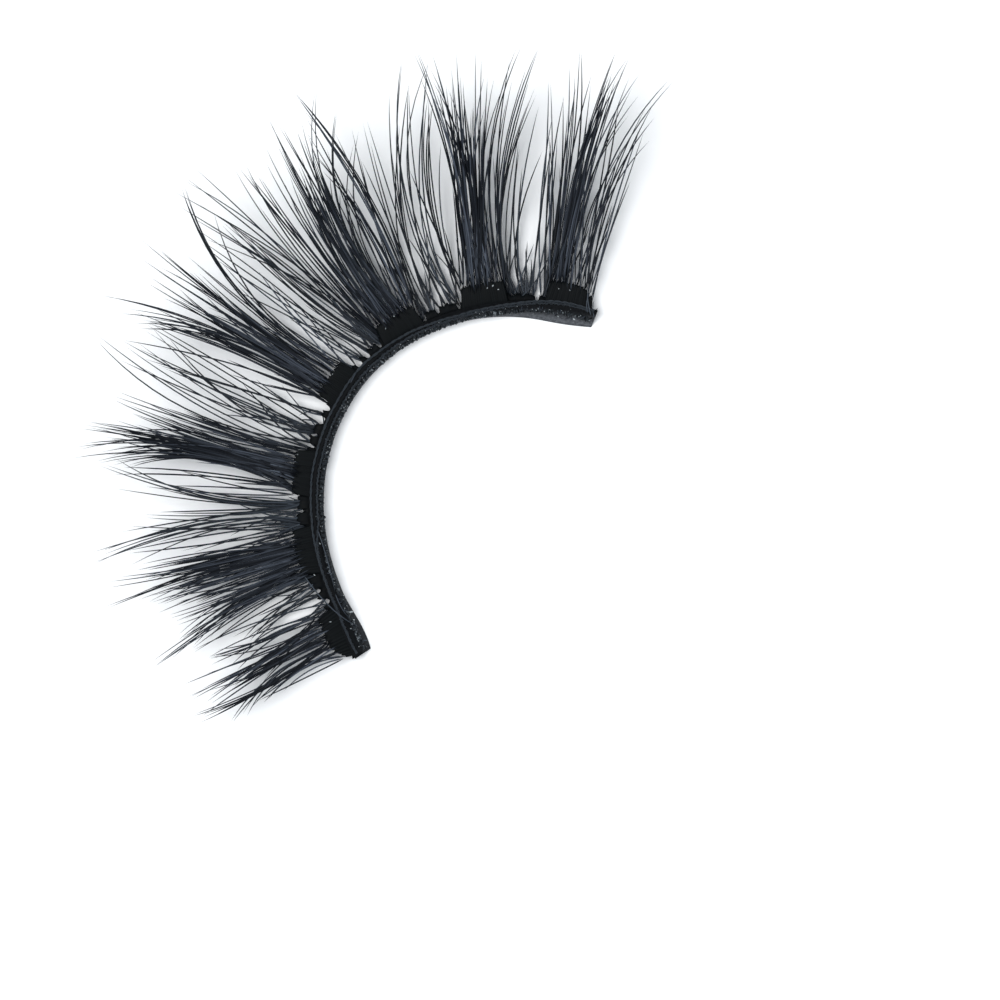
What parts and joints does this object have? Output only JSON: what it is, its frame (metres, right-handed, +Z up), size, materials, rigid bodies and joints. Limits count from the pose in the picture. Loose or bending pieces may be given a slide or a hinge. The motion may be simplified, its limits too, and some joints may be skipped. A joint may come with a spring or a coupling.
{
  "type": "false eyelash strip",
  "caption": "Strip of false eyelashes: a curved cotton band with dense fanned clusters of long dark lashes and thin crossed lashes between them.",
  "frame": {"origin": "below the middle of the whole strip's box, on the plane that the band stands on", "axes": "+X along the band's chord from the inner corner's end to the outer corner's end, +Y out along the lashes, +Z up, the way the lashes curl"},
  "size_m": [0.048, 0.0256, 0.0069],
  "materials": {
    "band_cotton": "matt waxed cotton, near-black",
    "binding_thread": "twisted thread, dark blue-grey with a soft sheen",
    "lash_fibre": "satin black synthetic fibre, glued solid at the root",
    "lash_fibre_fine": "satin black synthetic fibre, single crossed hairs"
  },
  "bodies": {
    "root": {"lash_band": "band_cotton", "binding_thread": "binding_thread", "lash_cluster_1": "lash_fibre", "lash_cluster_2": "lash_fibre", "lash_cluster_3": "lash_fibre", "lash_cluster_4": "lash_fibre", "lash_cluster_5": "lash_fibre", "lash_cluster_6": "lash_fibre", "lash_cluster_7": "lash_fibre", "crossed_fan_1": "lash_fibre_fine", "crossed_fan_2": "lash_fibre_fine", "crossed_fan_3": "lash_fibre_fine", "crossed_fan_4": "lash_fibre_fine", "crossed_fan_5": "lash_fibre_fine", "crossed_fan_6": "lash_fibre_fine"}
  },
  "joints": []
}
